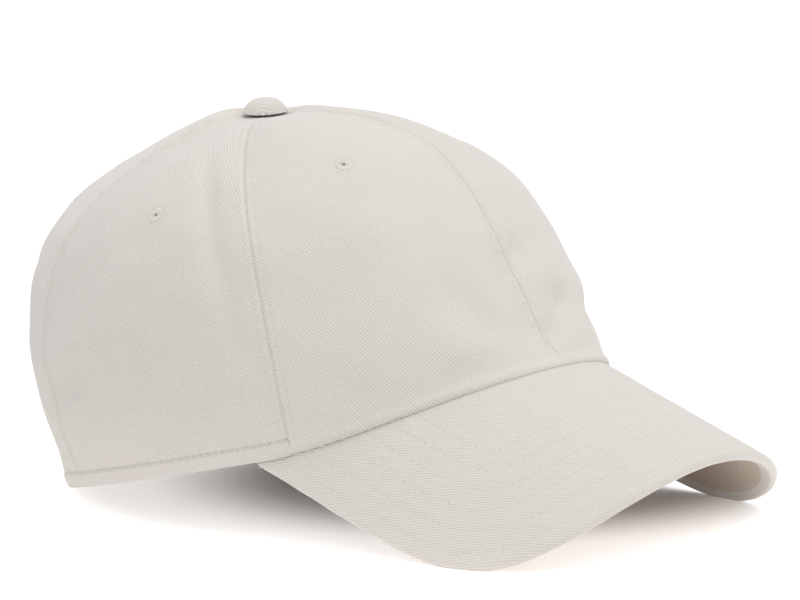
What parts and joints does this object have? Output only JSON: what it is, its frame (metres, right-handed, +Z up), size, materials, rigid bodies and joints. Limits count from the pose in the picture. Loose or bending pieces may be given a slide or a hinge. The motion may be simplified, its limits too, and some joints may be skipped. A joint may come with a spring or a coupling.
{
  "type": "baseball cap",
  "caption": "Soft unstructured baseball cap with a curved bill, sewn eyelets, a covered top button and a cloth strap with a metal cam clasp at the back.",
  "frame": {"origin": "under the middle of the cap's overall box, on the surface it stands on", "axes": "+X to the wearer's left, -Y to the front where the bill points, +Z up; the cap stands on its bill's edges and its rear hem, tipped nose-up by about 12.7 degrees"},
  "size_m": [0.1764, 0.2598, 0.1302],
  "materials": {
    "twill": "stone-coloured washed cotton twill",
    "thread": "matching embroidery thread",
    "lining": "plain cotton binding tape",
    "sweatband": "brushed cotton twill",
    "interlining": "white non-woven interlining",
    "board": "polyethylene bill board",
    "brass": "antiqued brass",
    "steel": "plated steel"
  },
  "bodies": {
    "crown": {"front_panel_right": "twill", "front_panel_left": "twill", "side_panel_right": "twill", "side_panel_left": "twill", "back_panel_right": "twill", "back_panel_left": "twill", "bill_top_cover": "twill", "bill_under_cover": "twill", "button_cover": "twill", "adjuster_strap": "twill", "front_panel_eyelet_right": "thread", "front_panel_eyelet_left": "thread", "side_panel_eyelet_right": "thread", "side_panel_eyelet_left": "thread", "back_panel_eyelet_right": "thread", "back_panel_eyelet_left": "thread", "front_seam_tape": "lining", "right_front_seam_tape": "lining", "left_front_seam_tape": "lining", "right_rear_seam_tape": "lining", "left_rear_seam_tape": "lining", "back_seam_tape": "lining", "rear_opening_binding": "lining", "sweatband": "sweatband", "sweatband_backing": "interlining", "bill_board": "board", "button_shell": "steel", "button_stud": "steel"},
    "clasp": {"clasp_frame": "brass", "clasp_tab": "twill", "clasp_pin": "steel"},
    "lever": {"clasp_lever": "brass"}
  },
  "joints": [
    {"name": "size_adjust", "type": "hinge", "parent": "crown", "child": "clasp", "pos_m": [0, 0.04577, 0.02785], "axis": [0, -0.2197, -0.9756], "range_deg": [0, 16]},
    {"name": "clasp_lever_hinge", "type": "hinge", "parent": "clasp", "child": "lever", "pos_m": [-0.01242, 0.11495, 0.01227], "axis": [0.026, -0.3619, -0.9318], "range_deg": [0, 110]}
  ]
}
